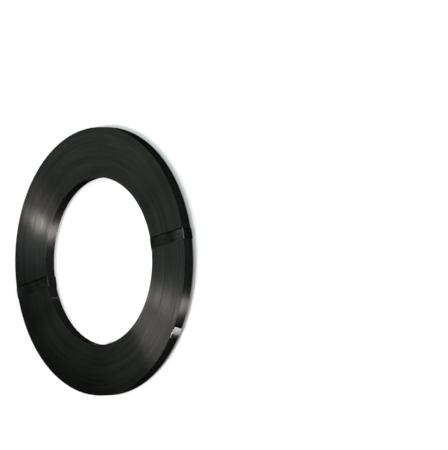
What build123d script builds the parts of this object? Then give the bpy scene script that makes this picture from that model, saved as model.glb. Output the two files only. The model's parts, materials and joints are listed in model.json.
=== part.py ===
from build123d import *
import os
from math import cos, degrees, radians

# Roll of steel strapping, lying on its end with the bore upright. The right-hand tie is on +X,
# and the floor is z = 0. Lengths are in millimetres and angles in degrees.

# Strap that is wound into the roll
strap_width = 25.4
strap_thickness = 0.79
bore_diameter = 406.4

# Turns on the ends of the roll: groups of turns stand a little higher or lower than their neighbours
turn_groups = 12
turns_per_group = 13
group_stagger = 0.35
stagger_angle = 137.5

# Strap ends, counted anticlockwise from the right-hand tie as the upper end is seen
inner_end_angle = 194.0
outer_end_angle = 319.8
tail_length = 34.0
tail_slant = 7.0
tail_lift_angle = 2.0

# Ties: flat strap led round the section of the roll, its ends overlapped underneath
left_tie_angle = 182.5
tie_width = 25.4
tie_thickness = 0.5
tie_clearance = 0.3
tie_bend_radius = 0.8
tie_overlap = 70.0

# Seals: sheet sleeves crimped over the overlapped tie ends
seal_length = 45.0
seal_sheet = 0.8
seal_clearance = 0.1
seal_lip = 8.0
crimp_pitch = 22.0
crimp_width = 4.0
crimp_depth = 0.3

# Values that follow from the driving dimensions
bore_radius = bore_diameter / 2
group_build = turns_per_group * strap_thickness
coil_build = turn_groups * group_build
rim_radius = bore_radius + coil_build
mid_radius = bore_radius + coil_build / 2

seal_width = tie_width + 2 * (seal_clearance + seal_sheet)
seal_cavity = 2 * (tie_thickness + seal_clearance)
seal_height = seal_cavity + 2 * seal_sheet
overlap_bottom = seal_sheet + seal_clearance
leg_top = overlap_bottom + 2 * tie_thickness
crimp_radius = (crimp_width**2 / 4 + crimp_depth**2) / (2 * crimp_depth)
coil_bottom = seal_height + tie_clearance
coil_top = coil_bottom + strap_width + group_stagger


def group_level(group):
    """Height of the lower strap edges in one group of turns, counted from the bore."""
    return coil_bottom + group_stagger * (1 - cos(radians(group * stagger_angle))) / 2


# Coil: a turned ring of strap turns, with one strap thickness of step at each end of the strap
tail_root_angle = outer_end_angle - degrees(tail_length / rim_radius)
rim_level = group_level(turn_groups - 1)
stock = strap_thickness

with BuildPart() as coil:
    with BuildSketch(Plane.YZ) as turned_section:
        for group in range(turn_groups):
            start = bore_radius + group * group_build
            with Locations((start, group_level(group))):
                Rectangle(group_build, strap_width, align=Align.MIN)
        with Locations((bore_radius, group_level(0))):
            Rectangle(stock, strap_width, align=(Align.MAX, Align.MIN))
        with Locations((rim_radius, rim_level)):
            Rectangle(stock, strap_width, align=Align.MIN)
    revolve(axis=Axis.Z)

    # Bore: the first turn starts at a step and has moved out by one thickness a turn later
    with BuildSketch(Plane.XY.rotated((0, 0, inner_end_angle))) as bore_outline:
        with BuildLine():
            CenterArc((0, 0), bore_radius, 0, 180)
            CenterArc((strap_thickness / 2, 0), bore_radius + strap_thickness / 2, 180, 180)
            Line((bore_radius, 0), (bore_radius + strap_thickness, 0))
        make_face()
    extrude(amount=2 * coil_top, mode=Mode.SUBTRACT)

    # Rim: the last turn ends at a step down to the turn below it
    with BuildSketch(Plane.XY.rotated((0, 0, tail_root_angle))) as rim_outline:
        with BuildLine():
            CenterArc((0, 0), rim_radius, 180, 180)
            CenterArc((-strap_thickness / 2, 0), rim_radius - strap_thickness / 2, 0, 180)
            Line((rim_radius - strap_thickness, 0), (rim_radius, 0))
        make_face()
    extrude(amount=2 * coil_top, mode=Mode.INTERSECT)

    # Tail: the free end of the strap springs straight, a little clear of the rim, and is cut at a slant
    root = Plane.XY.offset(rim_level).rotated((0, 0, tail_root_angle))
    root_point = root.from_local_coords((rim_radius - strap_thickness / 2, 0, 0))
    strap_flat = Plane(root_point, root.y_dir, root.x_dir).rotated((0, 0, -tail_lift_angle))
    with BuildSketch(strap_flat) as tail:
        with BuildLine():
            Polyline(
                (-strap_thickness, 0),
                (tail_length - tail_slant, 0),
                (tail_length, strap_width),
                (-strap_thickness, strap_width),
                close=True,
            )
        make_face()
    extrude(amount=strap_thickness / 2, both=True)

coil.part.label = "strapping_coil"

# Ties and their seals, nearly opposite each other
loop_inner = bore_radius - tie_clearance
loop_outer = rim_radius + tie_clearance
loop_top = coil_top + tie_clearance
loop_width = loop_outer - loop_inner
loop_height = loop_top - leg_top
loop_middle = (mid_radius, (loop_top + leg_top) / 2)

ties = {}
seals = {}
for side, turn in (("right", 0), ("left", left_tie_angle)):
    across = Plane.XY.rotated((0, 0, turn))

    with BuildPart(across) as tie:
        with BuildSketch(Plane.YZ) as loop:
            with Locations(loop_middle):
                RectangleRounded(
                    loop_width + 2 * tie_thickness,
                    loop_height + 2 * tie_thickness,
                    tie_bend_radius + tie_thickness,
                )
                RectangleRounded(loop_width, loop_height, tie_bend_radius, mode=Mode.SUBTRACT)
        revolve(axis=Axis.Z)
        Box(
            2 * rim_radius,
            tie_width,
            2 * coil_top,
            align=(Align.MIN, Align.CENTER, Align.MIN),
            mode=Mode.INTERSECT,
        )
        with Locations((mid_radius, 0, overlap_bottom)):
            Box(tie_overlap, tie_width, tie_thickness, align=(Align.CENTER, Align.CENTER, Align.MIN))
    tie.part.label = f"tie_{side}"
    ties[side] = tie.part

    with BuildPart(across) as seal:
        with BuildSketch(Plane(across.from_local_coords((mid_radius, 0, 0)), across.y_dir, across.x_dir)):
            Rectangle(seal_width, seal_height, align=(Align.CENTER, Align.MIN))
            with Locations((0, seal_sheet)):
                Rectangle(
                    seal_width - 2 * seal_sheet,
                    seal_cavity,
                    align=(Align.CENTER, Align.MIN),
                    mode=Mode.SUBTRACT,
                )
                Rectangle(
                    seal_width - 2 * seal_lip,
                    seal_height,
                    align=(Align.CENTER, Align.MIN),
                    mode=Mode.SUBTRACT,
                )
        extrude(amount=seal_length / 2, both=True)
        with Locations((mid_radius, 0, crimp_depth - crimp_radius)):
            with GridLocations(crimp_pitch, 0, 2, 1):
                Cylinder(crimp_radius, seal_width, rotation=(90, 0, 0), mode=Mode.SUBTRACT)
    seal.part.label = f"seal_{side}"
    seals[side] = seal.part

os.makedirs("parts", exist_ok=True)
export_step(coil.part, "parts/strapping_coil.step")
for side in ties:
    export_step(ties[side], f"parts/tie_{side}.step")
    export_step(seals[side], f"parts/seal_{side}.step")
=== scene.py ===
import json
import math

import bpy
import numpy as np
from mathutils import Matrix, Vector


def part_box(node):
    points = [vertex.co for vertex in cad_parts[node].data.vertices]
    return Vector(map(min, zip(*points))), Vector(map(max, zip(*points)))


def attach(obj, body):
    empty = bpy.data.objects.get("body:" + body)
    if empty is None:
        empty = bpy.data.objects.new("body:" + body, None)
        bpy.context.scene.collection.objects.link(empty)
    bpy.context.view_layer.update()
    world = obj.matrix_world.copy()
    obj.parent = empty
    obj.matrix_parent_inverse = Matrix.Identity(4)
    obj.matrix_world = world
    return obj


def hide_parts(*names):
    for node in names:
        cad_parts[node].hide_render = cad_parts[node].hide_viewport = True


# Roll of steel strapping on a pale floor. Lengths are in metres; angles are in degrees and are counted
# anticlockwise about the bore from the right-hand tie, as the upper end is seen.

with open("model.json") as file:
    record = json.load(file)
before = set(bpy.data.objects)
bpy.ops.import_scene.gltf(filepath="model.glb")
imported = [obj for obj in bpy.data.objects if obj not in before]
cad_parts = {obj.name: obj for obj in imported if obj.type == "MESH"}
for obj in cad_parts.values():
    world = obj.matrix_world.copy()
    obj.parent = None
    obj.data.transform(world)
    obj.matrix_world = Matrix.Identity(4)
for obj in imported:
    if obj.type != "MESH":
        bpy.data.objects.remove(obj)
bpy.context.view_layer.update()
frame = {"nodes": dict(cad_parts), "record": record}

# Sizes read from the frame
MM = 0.001
bore = next(m for m in frame["record"]["mounts"] if m["name"] == "bore")
coil_low, coil_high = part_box("strapping_coil")
tie_low, tie_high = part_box("tie_right")
BORE_RADIUS = bore["dims"]["r_mm"] * MM
STRAP_WIDTH = bore["dims"]["length_mm"] * MM
RIM_RADIUS = -coil_low.y
COIL_BOTTOM = coil_low.z
COIL_TOP = coil_high.z
STAGGER = COIL_TOP - COIL_BOTTOM - STRAP_WIDTH
TIE_HALF_WIDTH = (tie_high.y - tie_low.y) / 2
TIE_NEAR = math.hypot(tie_low.x, TIE_HALF_WIDTH)
TIE_FAR = tie_high.x
TIE_BOTTOM = tie_low.z
TIE_TOP = tie_high.z

# Strap winding
WHOLE_TURNS = 155
SPARE_TURNS = 4
SEGMENTS = 120
INNER_END = 194.0
OUTER_END = 319.8
TAIL_LENGTH = 34 * MM
TAIL_SLANT = 7 * MM
TAIL_LIFT = 2.0
TAIL_STEPS = 3
TAIL_ROOT = OUTER_END - math.degrees(TAIL_LENGTH / RIM_RADIUS)
TURNS_PER_GROUP = 13
STAGGER_ANGLE = 137.5
TURN_WANDER = 0.05 * MM
EDGE_ROUND = 0.2
EDGE_DEPTH = 0.1 * MM
COIL_CREASE = 50

# Ties
LEFT_TIE = 182.5
TIE_THICKNESS = 0.5 * MM
TIE_BEND = 1.3 * MM
TIE_EDGE = 0.12 * MM
TIE_SAG = 0.15 * MM
SAG_POINTS = 8
SAG_LEAST = 0.2
TOP_FACING = 0.999
OVERLAP = 70 * MM
LAP_FIT = 0.98
BEND_STEPS = 6
LEG_STEPS = 24
SIDE_STEPS = 6
WIDTH_STEPS = 6
TIE_CREASE = 30

# Camera, fitted to the upper end of the roll in the 448 x 450 photograph
FRAME_WIDTH = 448
FRAME_HEIGHT = 450
FACE_CENTRE_X = 98.3
FACE_CENTRE_Y = 261.2
FACE_RADIUS_PIXELS = 134.4
NEAR_SIDE = -11.75
CAMERA_ELEVATION = 39.2
CAMERA_DISTANCE = 12.0
CLIP_END = 100.0
SENSOR = 36.0

# Colours of paint, steel and floor, and of the painted highlight at the strap's inner end
TURN_PAINT = (0.0325, 0.037, 0.0325)
FACE_PAINT = (0.011, 0.012, 0.0116)
TAIL_PAINT = (0.012, 0.013, 0.0125)
TIE_PAINT = (0.018, 0.0217, 0.0184)
INNER_END_HIGHLIGHT = (0.05, 0.05, 0.048)
TAIL_STEEL = (0.46, 0.47, 0.46)
TIE_STEEL = (0.42, 0.49, 0.53)
SEAL_STEEL = (0.32, 0.33, 0.33)
TARNISH = (0.12, 0.11, 0.1)
STAGE_COLOUR = (0.79, 0.86, 0.86)

# Stage and light
STAGE_SIZE = 60.0
WALL_HEIGHT = 4.0
PALER_RUN = (0.36, 0.66)
FLOOR_PALER = (0.06, 0.55)
WALL_PALER = (0.7, 0.7)
WORLD_LIGHT = 0.27
WARM = (1.0, 0.82, 0.84)
COOL = (0.84, 0.92, 1.0)
WHITE = (1.0, 1.0, 1.0)

# Grain: the middle run of a noise, which holds most of its values, and the lumps of a drawn-out noise to
# the metre along x, y and z
NOISE_RUN = (0.3, 0.7)
TAIL_SCRATCHES = (120, 120, 1600)
TIE_LINES = (14, 900, 900)
SEAL_GRAIN = (60, 1500, 1500)
QUARTER_TURN = 0.25

RNG = np.random.default_rng(7)


def polar(radius, angle, height):
    """Points at these cylinder coordinates, as rows of x, y and z; the angle is in radians."""
    radius, angle, height = np.broadcast_arrays(radius, angle, height)
    return np.stack([radius * np.cos(angle), radius * np.sin(angle), height], axis=-1)


def make_piece(name, shape, materials, crease, replaced):
    """A mesh that rides on the roll and stands for one of its nodes."""
    vertices, faces, face_slots = shape
    mesh = bpy.data.meshes.new(name)
    mesh.from_pydata(vertices.tolist(), [], faces)
    for material in materials:
        mesh.materials.append(material)
    mesh.polygons.foreach_set("material_index", face_slots)
    mesh.polygons.foreach_set("use_smooth", [True] * len(faces))
    mesh.set_sharp_from_angle(angle=math.radians(crease))
    mesh.update()
    piece = bpy.data.objects.new(name, mesh)
    bpy.context.scene.collection.objects.link(piece)
    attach(piece, "root")
    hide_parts(replaced)


# Coil


def strap_levels(index):
    """Height of the strap's lower edge above the coil's bottom, at each step of the winding."""
    turn = index / SEGMENTS
    group = np.floor(turn / TURNS_PER_GROUP)
    stagger = STAGGER * (1 - np.cos(np.radians(group * STAGGER_ANGLE))) / 2
    knots = np.arange(WHOLE_TURNS + SPARE_TURNS)
    wander = np.interp(turn, knots, RNG.uniform(0, TURN_WANDER, len(knots)))
    return np.clip(stagger + wander, 0, STAGGER)


def tail_axes(root):
    """Directions across and along the tail, which springs from the rim at this angle in radians."""
    lift = math.radians(TAIL_LIFT)
    return polar(1.0, root - lift, 0.0), polar(1.0, root - lift + math.pi / 2, 0.0)


def strap_quads(first, second):
    """Faces between two rows of vertex numbers, each face one step long."""
    return np.stack([first, second, second + 1, first + 1], axis=1)


def wound_strap():
    """Vertices, faces and face slots of the strap, wound in one spiral with a straight tail."""
    part_turn = round((TAIL_ROOT - INNER_END) / 360 * SEGMENTS)
    steps = WHOLE_TURNS * SEGMENTS + part_turn
    pitch = (RIM_RADIUS - BORE_RADIUS) / (steps / SEGMENTS + 1)
    index = np.arange(steps + SEGMENTS + 1)
    angle = math.radians(INNER_END) + index * 2 * math.pi / SEGMENTS
    radius = BORE_RADIUS + pitch * index / SEGMENTS
    low = COIL_BOTTOM + strap_levels(index)
    high = low + STRAP_WIDTH

    # Between two turns lies a groove, below the edges on both sides of it
    inner = np.maximum(index - SEGMENTS, 0)
    outer = np.minimum(index, steps)
    groove_high = np.minimum(high[inner], high[outer]) - EDGE_DEPTH
    groove_low = np.maximum(low[inner], low[outer]) + EDGE_DEPTH
    strap = slice(0, steps + 1)
    inside = EDGE_ROUND * pitch
    outside = (1 - EDGE_ROUND) * pitch
    rows = {
        "groove_high": polar(radius, angle, groove_high),
        "inner_high": polar(radius[strap] + inside, angle[strap], high[strap]),
        "outer_high": polar(radius[strap] + outside, angle[strap], high[strap]),
        "groove_low": polar(radius, angle, groove_low),
        "crown_low": polar(radius[strap] + pitch / 2, angle[strap], low[strap]),
    }

    # Tail sections, each with the seven corners of the strap's section
    out = polar(1.0, angle[steps], 0.0)
    tail_out, tail_along = tail_axes(angle[steps])
    depths = np.array([0, inside, outside, pitch, pitch, pitch / 2, 0])
    heights = np.array([
        groove_high[steps],
        high[steps],
        high[steps],
        groove_high[steps + SEGMENTS],
        groove_low[steps + SEGMENTS],
        low[steps],
        groove_low[steps],
    ])
    lengths = TAIL_LENGTH - TAIL_SLANT * (high[steps] - heights) / STRAP_WIDTH
    tail = []
    for step in range(1, TAIL_STEPS + 1):
        line = radius[steps] * out + tail_along * (lengths * step / TAIL_STEPS)[:, None]
        section = line + depths[:, None] * tail_out
        section[:, 2] = heights
        tail.append(section)
    rows["tail"] = np.concatenate(tail)

    start = {}
    count = 0
    for name, points in rows.items():
        start[name] = count
        count += len(points)
    vertices = np.concatenate(list(rows.values()))

    def numbers(name, first, last):
        """Vertex numbers in a row, from the first step up to the last."""
        return start[name] + np.arange(first, last)

    grooves = numbers("groove_high", 0, steps)
    inners = numbers("inner_high", 0, steps)
    outers = numbers("outer_high", 0, steps)
    grooves_low = numbers("groove_low", 0, steps)
    crowns_low = numbers("crown_low", 0, steps)
    edge_faces = np.concatenate([
        strap_quads(grooves, inners),
        strap_quads(inners, outers),
        strap_quads(outers, grooves + SEGMENTS),
        strap_quads(crowns_low, grooves_low),
        strap_quads(grooves_low + SEGMENTS, crowns_low),
    ]).tolist()

    bore_high = numbers("groove_high", 0, SEGMENTS)
    bore_low = numbers("groove_low", 0, SEGMENTS)
    rim_high = numbers("groove_high", steps, steps + SEGMENTS)
    rim_low = numbers("groove_low", steps, steps + SEGMENTS)
    flat_faces = np.concatenate([
        strap_quads(bore_low, bore_high),
        strap_quads(rim_high, rim_low),
    ]).tolist()

    def section_at(step):
        """Vertex numbers round the strap's section at this step."""
        return [
            start["groove_high"] + step,
            start["inner_high"] + step,
            start["outer_high"] + step,
            start["groove_high"] + step + SEGMENTS,
            start["groove_low"] + step + SEGMENTS,
            start["crown_low"] + step,
            start["groove_low"] + step,
        ]

    tail_faces = [section_at(0)[::-1]]
    corners = len(depths)
    ring = section_at(steps)
    for step in range(TAIL_STEPS):
        next_ring = [start["tail"] + step * corners + k for k in range(corners)]
        for k in range(corners):
            after = (k + 1) % corners
            tail_faces.append([ring[k], ring[after], next_ring[after], next_ring[k]])
        ring = next_ring
    tail_faces.append(ring)

    slots = [0] * len(edge_faces) + [1] * len(flat_faces) + [2] * len(tail_faces)
    return vertices, edge_faces + flat_faces + tail_faces, slots


# Ties


def tie_loop():
    """Points on the outside of a tie's loop, as radius and height, and their outward normals."""
    far = TIE_FAR - TIE_BEND
    near = TIE_NEAR + TIE_BEND
    top = TIE_TOP - TIE_BEND
    bottom = TIE_BOTTOM + TIE_THICKNESS + TIE_BEND
    corners = [
        (far, top, 0, LEG_STEPS),
        (near, top, 90, SIDE_STEPS),
        (near, bottom, 180, LEG_STEPS),
        (far, bottom, 270, SIDE_STEPS),
    ]
    points = []
    normals = []
    for number, (radius, height, first, leg_steps) in enumerate(corners):
        for turn in np.radians(np.linspace(first, first + 90, BEND_STEPS + 1)):
            normal = np.array([math.cos(turn), math.sin(turn)])
            points.append(np.array([radius, height]) + TIE_BEND * normal)
            normals.append(normal)
        next_radius, next_height, _, _ = corners[(number + 1) % len(corners)]
        leg_end = np.array([next_radius, next_height]) + TIE_BEND * normals[-1]
        leg_start = points[-1]
        for part in np.linspace(0, 1, leg_steps + 1)[1:-1]:
            points.append(leg_start + part * (leg_end - leg_start))
            normals.append(normals[-1])
    return np.array(points), np.array(normals)


def tie_strap(turn):
    """Vertices, faces and face slots of one tie: a flat strap round the section, lapped underneath."""
    points, normals = tie_loop()
    on_top = normals[:, 1] > TOP_FACING
    bow = np.sin(np.linspace(0, math.pi, on_top.sum()))
    wave = np.interp(
        np.linspace(0, SAG_POINTS - 1, on_top.sum()),
        np.arange(SAG_POINTS),
        RNG.uniform(SAG_LEAST, 1.0, SAG_POINTS),
    )
    points[on_top, 1] -= TIE_SAG * bow * wave

    # Section of the strap, its corners cut off, as sideways places and depths below the loop's outside
    across = np.linspace(TIE_EDGE - TIE_HALF_WIDTH, TIE_HALF_WIDTH - TIE_EDGE, WIDTH_STEPS + 1)
    inset = TIE_THICKNESS - TIE_EDGE
    section_y = np.concatenate([
        across,
        [TIE_HALF_WIDTH, TIE_HALF_WIDTH],
        across[::-1],
        [-TIE_HALF_WIDTH, -TIE_HALF_WIDTH],
    ])
    section_depth = np.concatenate([
        np.zeros(len(across)),
        [TIE_EDGE, inset],
        np.full(len(across), TIE_THICKNESS),
        [inset, TIE_EDGE],
    ])
    radius = points[:, :1] - normals[:, :1] * section_depth
    height = points[:, 1:] - normals[:, 1:] * section_depth
    sideways = np.broadcast_to(section_y, radius.shape)
    loop = np.stack([np.sqrt(radius**2 - sideways**2), sideways, height], axis=-1)
    rings, corners = radius.shape
    vertices = [loop.reshape(-1, 3)]
    faces = []
    for ring in range(rings):
        after = (ring + 1) % rings
        for k in range(corners):
            right = (k + 1) % corners
            faces.append([
                ring * corners + k,
                ring * corners + right,
                after * corners + right,
                after * corners + k,
            ])

    # Lapped end, held against the loop by the seal
    middle = (points[:, 0].min() + points[:, 0].max()) / 2
    base = rings * corners
    for end in (-1, 1):
        section = np.stack([
            np.full(corners, middle + end * OVERLAP / 2),
            section_y,
            TIE_BOTTOM + section_depth * LAP_FIT,
        ], axis=-1)
        vertices.append(section)
    for k in range(corners):
        right = (k + 1) % corners
        faces.append([base + right, base + corners + right, base + corners + k, base + k])
    faces.append([base + k for k in range(corners)][::-1])
    faces.append([base + corners + k for k in range(corners)])

    angle = math.radians(turn)
    turned = np.array([
        [math.cos(angle), math.sin(angle), 0],
        [-math.sin(angle), math.cos(angle), 0],
        [0, 0, 1],
    ])
    return np.concatenate(vertices) @ turned, faces, [0] * len(faces)


# Materials


class Surface:
    """A material and short calls for the nodes that drive it."""

    def __init__(self, name, metallic=1.0):
        self.material = bpy.data.materials.new(name)
        self.material.use_nodes = True
        self.tree = self.material.node_tree
        self.shader = self.tree.nodes["Principled BSDF"]
        self.constant("Metallic", metallic)
        coordinates = self.tree.nodes.new("ShaderNodeTexCoord")
        self.position = coordinates.outputs["Object"]
        self.x, self.y, self.z = self.node("ShaderNodeSeparateXYZ", {"Vector": self.position}).outputs
        self.flat = self.vector("MULTIPLY", self.position, (1, 1, 0))
        self.radius = self.measure("LENGTH", self.flat)
        self.direction = self.vector("NORMALIZE", self.flat)

    def constant(self, name, value):
        """Sets a shader input to a value that is the same all over."""
        self.shader.inputs[name].default_value = value

    def set(self, name, value):
        """Links a node's output to a shader input."""
        self.tree.links.new(value, self.shader.inputs[name])

    def node(self, kind, inputs, **settings):
        """A new node, with links or values on its inputs."""
        node = self.tree.nodes.new(kind)
        for name, value in settings.items():
            setattr(node, name, value)
        for name, value in inputs.items():
            if isinstance(value, bpy.types.NodeSocket):
                self.tree.links.new(value, node.inputs[name])
            else:
                node.inputs[name].default_value = value
        return node

    def vector(self, operation, first, second=(0, 0, 0)):
        """A vector operation that gives a vector."""
        inputs = {0: first, 1: second}
        return self.node("ShaderNodeVectorMath", inputs, operation=operation).outputs["Vector"]

    def measure(self, operation, first, second=(0, 0, 0)):
        """A vector operation that gives a number."""
        inputs = {0: first, 1: second}
        return self.node("ShaderNodeVectorMath", inputs, operation=operation).outputs["Value"]

    def scale(self, vector, factor):
        """A vector or a colour, multiplied by a factor."""
        inputs = {0: vector, "Scale": factor}
        return self.node("ShaderNodeVectorMath", inputs, operation="SCALE").outputs["Vector"]

    def number(self, operation, first, second):
        """An operation on two numbers."""
        inputs = {0: first, 1: second}
        return self.node("ShaderNodeMath", inputs, operation=operation).outputs["Value"]

    def times(self, first, *others):
        """The product of numbers."""
        for other in others:
            first = self.number("MULTIPLY", first, other)
        return first

    def largest(self, first, *others):
        """The largest of numbers."""
        for other in others:
            first = self.number("MAXIMUM", first, other)
        return first

    def span(self, value, start, end, first, last):
        """The value's run from start to end, turned into a smooth run from first to last."""
        inputs = {"Value": value, "From Min": start, "From Max": end, "To Min": first, "To Max": last}
        node = self.node("ShaderNodeMapRange", inputs, interpolation_type="SMOOTHSTEP")
        return node.outputs["Result"]

    def spot(self, place, start, end, near, far):
        """A smooth run from near to far with the distance from an upright line through a place."""
        return self.span(self.measure("DISTANCE", self.flat, place), start, end, near, far)

    def noise(self, vector, scale=1.0, detail=2.0):
        """Noise with this many lumps to the unit of length."""
        inputs = {"Vector": vector, "Scale": scale, "Detail": detail}
        return self.node("ShaderNodeTexNoise", inputs).outputs["Fac"]

    def vary(self, noise, least, most):
        """A noise, turned into a smooth run from least to most."""
        return self.span(noise, *NOISE_RUN, least, most)

    def drawn_out(self, stretch):
        """Noise with its own scale along x, y and z."""
        return self.noise(self.vector("MULTIPLY", self.position, stretch))

    def ring_lines(self, across, spacing, changes, detail=2.0):
        """Noise drawn out round the roll: lines this far apart, with this many changes to the radian."""
        around = self.scale(self.direction, changes)
        step = self.number("DIVIDE", across, spacing)
        offset = self.node("ShaderNodeCombineXYZ", {"Z": step}).outputs["Vector"]
        return self.noise(self.vector("ADD", around, offset), detail=detail)

    def along_tail(self):
        """Length along the tail from its root, evened out for the slant of its end."""
        root = math.radians(TAIL_ROOT)
        offset = self.vector("SUBTRACT", self.position, polar(RIM_RADIUS, root, 0.0))
        length = self.measure("DOT_PRODUCT", offset, tail_axes(root)[1])
        below = self.number("SUBTRACT", COIL_TOP, self.z)
        return self.number("ADD", length, self.number("MULTIPLY", below, TAIL_SLANT / STRAP_WIDTH))

    def across_ties(self):
        """Distance from the middle line of the nearer tie."""
        slope = math.tan(math.radians(LEFT_TIE - 180))
        shift = self.number("MULTIPLY", self.number("MINIMUM", self.x, 0.0), slope)
        return self.number("SUBTRACT", self.y, shift)

    def mix(self, factor, first, second):
        """The first colour, changed to the second by the factor."""
        node = self.tree.nodes.new("ShaderNodeMix")
        node.data_type = "RGBA"

        # Sockets of this node share their names, so its colour sockets are taken by number
        sockets = (node.inputs[0], node.inputs[6], node.inputs[7])
        for socket, value in zip(sockets, (factor, first, second)):
            if isinstance(value, bpy.types.NodeSocket):
                self.tree.links.new(value, socket)
            else:
                socket.default_value = (*value, 1)
        return node.outputs[2]

    def grazing_tint(self, level):
        """Holds back the mirror that paint becomes at a grazing angle."""
        self.constant("Specular Tint", (level, level, level, 1))

    def grain_round_roll(self):
        """Fine lines round the roll, which draw highlights out across them."""
        self.constant("Anisotropic", 1.0)
        self.constant("Anisotropic Rotation", QUARTER_TURN)
        tangent = self.tree.nodes.new("ShaderNodeTangent")
        tangent.direction_type = "RADIAL"
        tangent.axis = "Z"
        self.set("Tangent", tangent.outputs["Tangent"])


# Painted shade and highlights on the end of the roll, its lighter first turns and its wax: places, and
# where each run starts and ends
TIE_SHADOW_BAND = (13.6 * MM, 17.0 * MM)
FIRST_TURNS = (BORE_RADIUS + 6 * MM, BORE_RADIUS + 9 * MM)
UNSHADED_SIDE = polar(50 * MM, math.radians(NEAR_SIDE + 60), 0.0)
OUTER_SHADE_RUN = (290 * MM, 365 * MM)
HIGHLIGHT_SPOT = polar(249 * MM, math.radians(146), 0.0)
HIGHLIGHT_RUN = (5 * MM, 46 * MM)
HIGHLIGHT_DIM_SPOT = polar(325 * MM, math.radians(146), 0.0)
HIGHLIGHT_DIM_RUN = (25 * MM, 80 * MM)
WAX_RUN = (-300 * MM, 300 * MM)

# Painted highlight and shadow on the flat of the strap, and the wear and tone of its tail
INNER_END_SPOT = polar(BORE_RADIUS, math.radians(INNER_END + 0.7), 0.0)
INNER_END_RUN = (1.6 * MM, 3.0 * MM)
TAIL_SHADOW_START = (TAIL_LENGTH - 0.5 * MM, TAIL_LENGTH + 0.5 * MM)
TAIL_SHADOW_END = (TAIL_LENGTH + 4 * MM, TAIL_LENGTH + 6 * MM)
TAIL_SHADOW_REACH = RIM_RADIUS - 20 * MM
TAIL_SHADOW_DEPTH = 0.85
TAIL_RAGGED = 2.0 * MM
TAIL_WEAR = (TAIL_LENGTH - 23 * MM, TAIL_LENGTH - 17 * MM)
TAIL_FADE = (TAIL_LENGTH - 22 * MM, TAIL_LENGTH - 4 * MM)
TAIL_EDGE = (COIL_TOP - 1.2 * MM, COIL_TOP - 0.6 * MM)
TAIL_EDGE_WEAR = (-8 * MM, 12 * MM)

# Wear on the ties and their seals, and painted shade on the ties' legs
TIE_TOP_RUN = (TIE_TOP - 3 * MM, TIE_TOP - 1 * MM)
TIE_LEG_SHADE = (TIE_TOP - 5 * MM, TIE_TOP - 1 * MM)
RIM_BEND = (TIE_FAR - 1.4 * MM, TIE_FAR - 0.5 * MM)
RIM_SCUFF = (TIE_FAR - 44 * MM, TIE_FAR - 14 * MM)
SCUFF_LEAST = 0.1
BORE_BEND = (BORE_RADIUS - 0.4 * MM, BORE_RADIUS + 0.8 * MM)
LOWER_EDGE = (-TIE_HALF_WIDTH, -TIE_HALF_WIDTH + 1.2 * MM)
PATCH_RUN = (0.35, 0.65)
TARNISH_RUN = (0.5, 0.7)
RIGHT_TIE_WEAR = 1.0
LEFT_TIE_WEAR = 0.15


def turn_edge_material():
    """Painted edges of the turns: dark, with a grain that runs round the roll."""
    surface = Surface("turn_edges")
    surface.grazing_tint(0.4)
    surface.grain_round_roll()
    bands = surface.ring_lines(surface.radius, spacing=14 * MM, changes=0.7)
    turns = surface.ring_lines(surface.radius, spacing=1.3 * MM, changes=2.5, detail=1.0)
    off_tie = surface.across_ties()
    # Painted shadow: a dark band on the turns just above each tie's upper edge
    tie_shadow_above = surface.span(off_tie, *TIE_SHADOW_BAND, first=0.05, last=1.0)
    below_tie = surface.number("LESS_THAN", off_tie, 0.0)
    tone = surface.times(
        surface.vary(bands, least=0.9, most=1.1),
        surface.vary(turns, least=0.8, most=1.2),
        surface.largest(tie_shadow_above, below_tie),
        surface.span(surface.radius, *FIRST_TURNS, first=1.12, last=1.0),
        # Painted shade: the outer turns darker, least on one side of the roll
        surface.spot(UNSHADED_SIDE, *OUTER_SHADE_RUN, near=1.0, far=0.55),
        # Painted highlight: lighter in a spot that brightens the key lamp's highlight on the left of the
        # end
        surface.spot(HIGHLIGHT_SPOT, *HIGHLIGHT_RUN, near=1.7, far=1.0),
        # Painted shade: darker in a spot that dims the outer part of that highlight
        surface.spot(HIGHLIGHT_DIM_SPOT, *HIGHLIGHT_DIM_RUN, near=0.55, far=1.0),
    )
    surface.set("Base Color", surface.scale(TURN_PAINT, tone))
    wax = surface.span(surface.x, *WAX_RUN, first=0.35, last=0.43)
    polish = surface.ring_lines(surface.radius, spacing=9 * MM, changes=1.5)
    polish = surface.vary(polish, least=-0.05, most=0.05)
    surface.set("Roughness", surface.number("ADD", wax, polish))
    return surface.material


def strap_face_material():
    """Flat of the strap, seen on the rim and in the bore, with rolling lines along it."""
    surface = Surface("strap_face")
    surface.grazing_tint(0.3)
    surface.grain_round_roll()
    lines = surface.ring_lines(surface.z, spacing=1.2 * MM, changes=1.2)
    cloud = surface.noise(surface.position, scale=9.0)

    # Painted shadow in a line just beyond the tail's end
    beyond_tail = surface.along_tail()
    tail_out = tail_axes(math.radians(TAIL_ROOT))[0]
    tail_side = surface.measure("DOT_PRODUCT", surface.position, tail_out)
    tail_shadow = surface.times(
        surface.span(beyond_tail, *TAIL_SHADOW_START, first=0.0, last=1.0),
        surface.span(beyond_tail, *TAIL_SHADOW_END, first=1.0, last=0.0),
        surface.number("GREATER_THAN", tail_side, TAIL_SHADOW_REACH),
        TAIL_SHADOW_DEPTH,
    )
    tone = surface.times(
        surface.vary(lines, least=0.75, most=1.25),
        surface.vary(cloud, least=0.8, most=1.2),
        surface.number("SUBTRACT", 1.0, tail_shadow),
    )
    painted = surface.scale(FACE_PAINT, tone)
    # Painted highlight: a lighter mark on the bore wall at the strap's inner end, for light caught by
    # the strap's cut end
    bare = surface.spot(INNER_END_SPOT, *INNER_END_RUN, near=1.0, far=0.0)
    surface.set("Base Color", surface.mix(bare, painted, INNER_END_HIGHLIGHT))
    wax = surface.noise(surface.position, scale=60.0)
    surface.set("Roughness", surface.vary(wax, least=0.36, most=0.42))
    return surface.material


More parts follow.
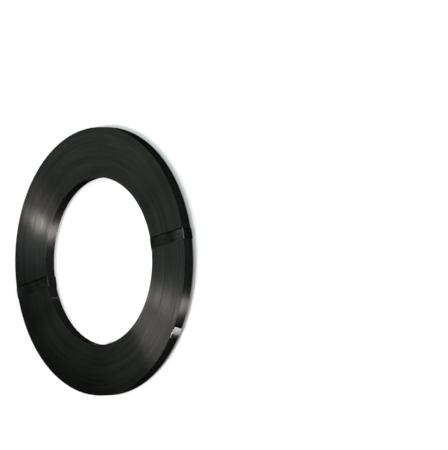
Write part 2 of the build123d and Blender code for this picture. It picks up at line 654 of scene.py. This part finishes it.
def bare_end_material():
    """Tail of the strap, its paint worn off to bright steel near the sheared end and along its edge."""
    surface = Surface("bare_end")
    scratches = surface.drawn_out(TAIL_SCRATCHES)
    ragged = surface.vary(scratches, least=-TAIL_RAGGED, most=TAIL_RAGGED)
    length = surface.number("ADD", surface.along_tail(), ragged)
    flat_wear = surface.span(length, *TAIL_WEAR, first=0.0, last=1.0)
    edge = surface.span(surface.z, *TAIL_EDGE, first=0.0, last=1.0)
    edge_wear = surface.times(edge, surface.span(length, *TAIL_EDGE_WEAR, first=0.2, last=1.0))
    bare = surface.largest(flat_wear, edge_wear)
    # Steel darker towards the tail's root
    bright = surface.largest(surface.span(length, *TAIL_FADE, first=0.35, last=1.0), edge)
    tone = surface.times(bright, surface.vary(scratches, least=0.8, most=1.2))
    surface.set("Base Color", surface.mix(bare, TAIL_PAINT, surface.scale(TAIL_STEEL, tone)))
    surface.set("Roughness", surface.vary(scratches, least=0.12, most=0.2))
    return surface.material


def tie_material(name, wear):
    """Painted tie strap, rubbed to bare steel on its bends by the given amount."""
    surface = Surface(name)
    surface.grazing_tint(0.3)
    lines = surface.drawn_out(TIE_LINES)
    cloud = surface.noise(surface.position, scale=45.0, detail=4.0)
    tone = surface.times(
        surface.vary(lines, least=0.8, most=1.2),
        surface.vary(cloud, least=0.75, most=1.25),
        # Painted shade: the ties' legs on the rim and in the bore darker than their tops
        surface.span(surface.z, *TIE_LEG_SHADE, first=0.3, last=1.0),
    )
    painted = surface.scale(TIE_PAINT, tone)
    near_rim = surface.span(surface.radius, *RIM_SCUFF, first=0.0, last=1.0)
    lower_edge = surface.span(surface.across_ties(), *LOWER_EDGE, first=0.5, last=0.0)
    rubbed = surface.largest(
        surface.span(surface.radius, *RIM_BEND, first=0.0, last=0.35),
        surface.span(surface.radius, *BORE_BEND, first=0.32, last=0.0),
        surface.times(near_rim, surface.largest(lower_edge, SCUFF_LEAST)),
    )
    patches = surface.noise(surface.position, scale=240.0, detail=3.0)
    bare = surface.times(
        rubbed,
        surface.span(surface.z, *TIE_TOP_RUN, first=0.0, last=1.0),
        surface.span(patches, *PATCH_RUN, first=0.25, last=1.0),
        wear,
    )
    surface.set("Base Color", surface.mix(bare, painted, TIE_STEEL))
    surface.set("Roughness", surface.vary(cloud, least=0.3, most=0.42))
    return surface.material


def seal_material():
    """Plain pressed sheet with a rolled grain and a little tarnish."""
    surface = Surface("seal_steel")
    grain = surface.drawn_out(SEAL_GRAIN)
    cloud = surface.noise(surface.position, scale=120.0, detail=4.0)
    steel = surface.scale(SEAL_STEEL, surface.vary(grain, least=0.8, most=1.2))
    tarnished = surface.span(cloud, *TARNISH_RUN, first=0.0, last=0.7)
    surface.set("Base Color", surface.mix(tarnished, steel, TARNISH))
    surface.set("Roughness", surface.vary(cloud, least=0.3, most=0.5))
    return surface.material


# Stage


def stage_material(name, paler_near, paler_far):
    """A pale matt surface, brought up to white for the camera and for what mirrors it."""
    surface = Surface(name, metallic=0.0)
    surface.constant("Roughness", 1.0)
    surface.constant("Specular IOR Level", 0.0)
    cloud = surface.noise(surface.position, scale=3.0)
    tone = surface.vary(cloud, least=0.98, most=1.02)
    surface.set("Base Color", surface.scale(STAGE_COLOUR, tone))
    path = surface.tree.nodes.new("ShaderNodeLightPath").outputs
    seen = surface.number("ADD", path["Is Camera Ray"], path["Is Glossy Ray"])
    seen = surface.number("ADD", seen, path["Is Transmission Ray"])
    paler = surface.span(surface.radius, *PALER_RUN, first=paler_near, last=paler_far)
    surface.constant("Emission Color", (1, 1, 1, 1))
    surface.set("Emission Strength", surface.times(seen, paler))
    return surface.material


def add_stage(name, vertices, faces, material):
    """A piece of the stage, which isn't part of the roll."""
    mesh = bpy.data.meshes.new(name)
    mesh.from_pydata(vertices, [], faces)
    mesh.materials.append(material)
    piece = bpy.data.objects.new(name, mesh)
    bpy.context.scene.collection.objects.link(piece)


def add_floor_and_backdrop():
    """A wide pale floor that keeps the roll's shadow, and a low wall round its edge."""
    half = STAGE_SIZE / 2
    corners = [(-half, -half), (half, -half), (half, half), (-half, half)]
    count = len(corners)
    floor = [(x, y, 0) for x, y in corners]
    add_stage("floor", floor, [tuple(range(count))], stage_material("floor", *FLOOR_PALER))
    wall = floor + [(x, y, WALL_HEIGHT) for x, y in corners]
    wall_faces = []
    for k in range(count):
        after = (k + 1) % count
        wall_faces.append((k, k + count, after + count, after))
    add_stage("backdrop", wall, wall_faces, stage_material("backdrop", *WALL_PALER))


def add_world():
    """Even light from all round."""
    world = bpy.data.worlds.new("studio")
    bpy.context.scene.world = world
    world.use_nodes = True
    background = world.node_tree.nodes["Background"]
    background.inputs["Color"].default_value = (1, 1, 1, 1)
    background.inputs["Strength"].default_value = WORLD_LIGHT


def face_axes():
    """Directions on the roll's end as the photograph shows it: right, up and out of the end."""
    near = math.radians(NEAR_SIDE)
    right = Vector((math.cos(near), math.sin(near), 0))
    out = Vector((0, 0, 1))
    return right, out.cross(right), out


def on_face(right, up, out):
    """A vector from its parts along the axes of the roll's end."""
    axes = face_axes()
    return right * axes[0] + up * axes[1] + out * axes[2]


def add_lamp(name, data, direction):
    """A lamp whose light comes from the given direction."""
    lamp = bpy.data.objects.new(name, data)
    lamp.rotation_mode = "QUATERNION"
    lamp.rotation_quaternion = direction.to_track_quat("Z", "Y")
    bpy.context.scene.collection.objects.link(lamp)
    return lamp


def add_sun(name, direction, colour, strength, spread):
    """A far lamp, with its direction given along the axes of the roll's end."""
    data = bpy.data.lights.new(name, "SUN")
    data.color = colour
    data.energy = strength
    data.angle = math.radians(spread)
    add_lamp(name, data, on_face(*direction))


def add_panel(name, place, target, size, watts, colour):
    """A soft lamp, not itself seen, with its place and target along the axes of the roll's end."""
    data = bpy.data.lights.new(name, "AREA")
    data.color = colour
    data.energy = watts
    data.shape = "RECTANGLE"
    data.size, data.size_y = size
    lamp = add_lamp(name, data, on_face(*place) - on_face(*target))
    lamp.visible_camera = False
    lamp.location = on_face(*place)


def add_camera():
    """Camera at the photograph's angle to the roll's end, turned so that the picture stands as there."""
    right, up, out = face_axes()
    elevation = math.radians(CAMERA_ELEVATION)
    back = math.cos(elevation) * right + math.sin(elevation) * out
    focal_pixels = FACE_RADIUS_PIXELS / RIM_RADIUS * CAMERA_DISTANCE
    aim = Vector((
        (FACE_CENTRE_X - FRAME_WIDTH / 2) / focal_pixels,
        (FRAME_HEIGHT / 2 - FACE_CENTRE_Y) / focal_pixels,
        -1,
    ))
    turn = aim.rotation_difference(Vector((0, 0, -1))).to_matrix()
    axes = Matrix((up.cross(back), up, back)).transposed() @ turn
    data = bpy.data.cameras.new("camera")
    data.sensor_width = SENSOR
    data.lens = focal_pixels * SENSOR / max(FRAME_WIDTH, FRAME_HEIGHT)
    data.clip_end = CLIP_END
    camera = bpy.data.objects.new("camera", data)
    place = Vector((0, 0, COIL_BOTTOM + STRAP_WIDTH)) + CAMERA_DISTANCE * back
    camera.matrix_world = Matrix.Translation(place) @ axes.to_4x4()
    bpy.context.scene.collection.objects.link(camera)
    bpy.context.scene.camera = camera


coil_materials = [turn_edge_material(), strap_face_material(), bare_end_material()]
make_piece("coil_turns", wound_strap(), coil_materials, COIL_CREASE, "strapping_coil")

seal_steel = seal_material()
for side, turn, wear in (("right", 0, RIGHT_TIE_WEAR), ("left", LEFT_TIE, LEFT_TIE_WEAR)):
    tie_paint = tie_material(f"tie_{side}_paint", wear)
    make_piece(f"tie_{side}_strap", tie_strap(turn), [tie_paint], TIE_CREASE, f"tie_{side}")
    seal = frame["nodes"][f"seal_{side}"]
    seal.data.materials.clear()
    seal.data.materials.append(seal_steel)

add_floor_and_backdrop()
add_world()

# Far lamps: name, direction, colour, strength and spread in degrees
add_sun("key", (-0.3, -0.192, 0.932), WARM, 1.35, 1.5)
add_sun("fill", (-0.3, -0.07, 0.95), COOL, 0.2, 10)
add_sun("mirror", (-0.67, -0.17, 0.72), WHITE, 0.07, 12)

# Soft lamps: name, place, target, width and height, watts and colour. The strips stand lower than the
# roll's upper end, so they light only its rim and its bore.
add_panel("left", (-0.45, 0.5, 0.25), (0, 0.3, 0.1), (0.6, 0.4), 1.0, WHITE)
add_panel("top", (-0.12, 0.52, 0.48), (0.08, 0.18, 0), (0.4, 0.4), 0.9, WHITE)
add_panel("right", (0.38, 0.25, 0.55), (0.2, 0.08, 0), (0.6, 0.4), 1.3, WHITE)
add_panel("front", (-0.02, -0.43, 0.6), (0.21, -0.17, 0), (0.22, 0.22), 2.2, WARM)
add_panel("near", (-0.21, -0.49, 0.32), (0.09, -0.25, 0), (0.3, 0.3), 0.15, WHITE)
add_panel("rim_strip", (1.03, -0.595, 0.014), (0.308, -0.109, 0.014), (0.2, 0.02), 26, WARM)
add_panel("back_strip", (-1.2, -0.1, 0.014), (-0.325, -0.028, 0.014), (0.3, 0.02), 20, WHITE)
add_panel("bore_strip", (0.066, -0.12, 0.016), (-0.19, 0.073, 0.016), (0.06, 0.016), 4.5, WARM)
add_camera()
bpy.context.scene.view_settings.view_transform = "Standard"
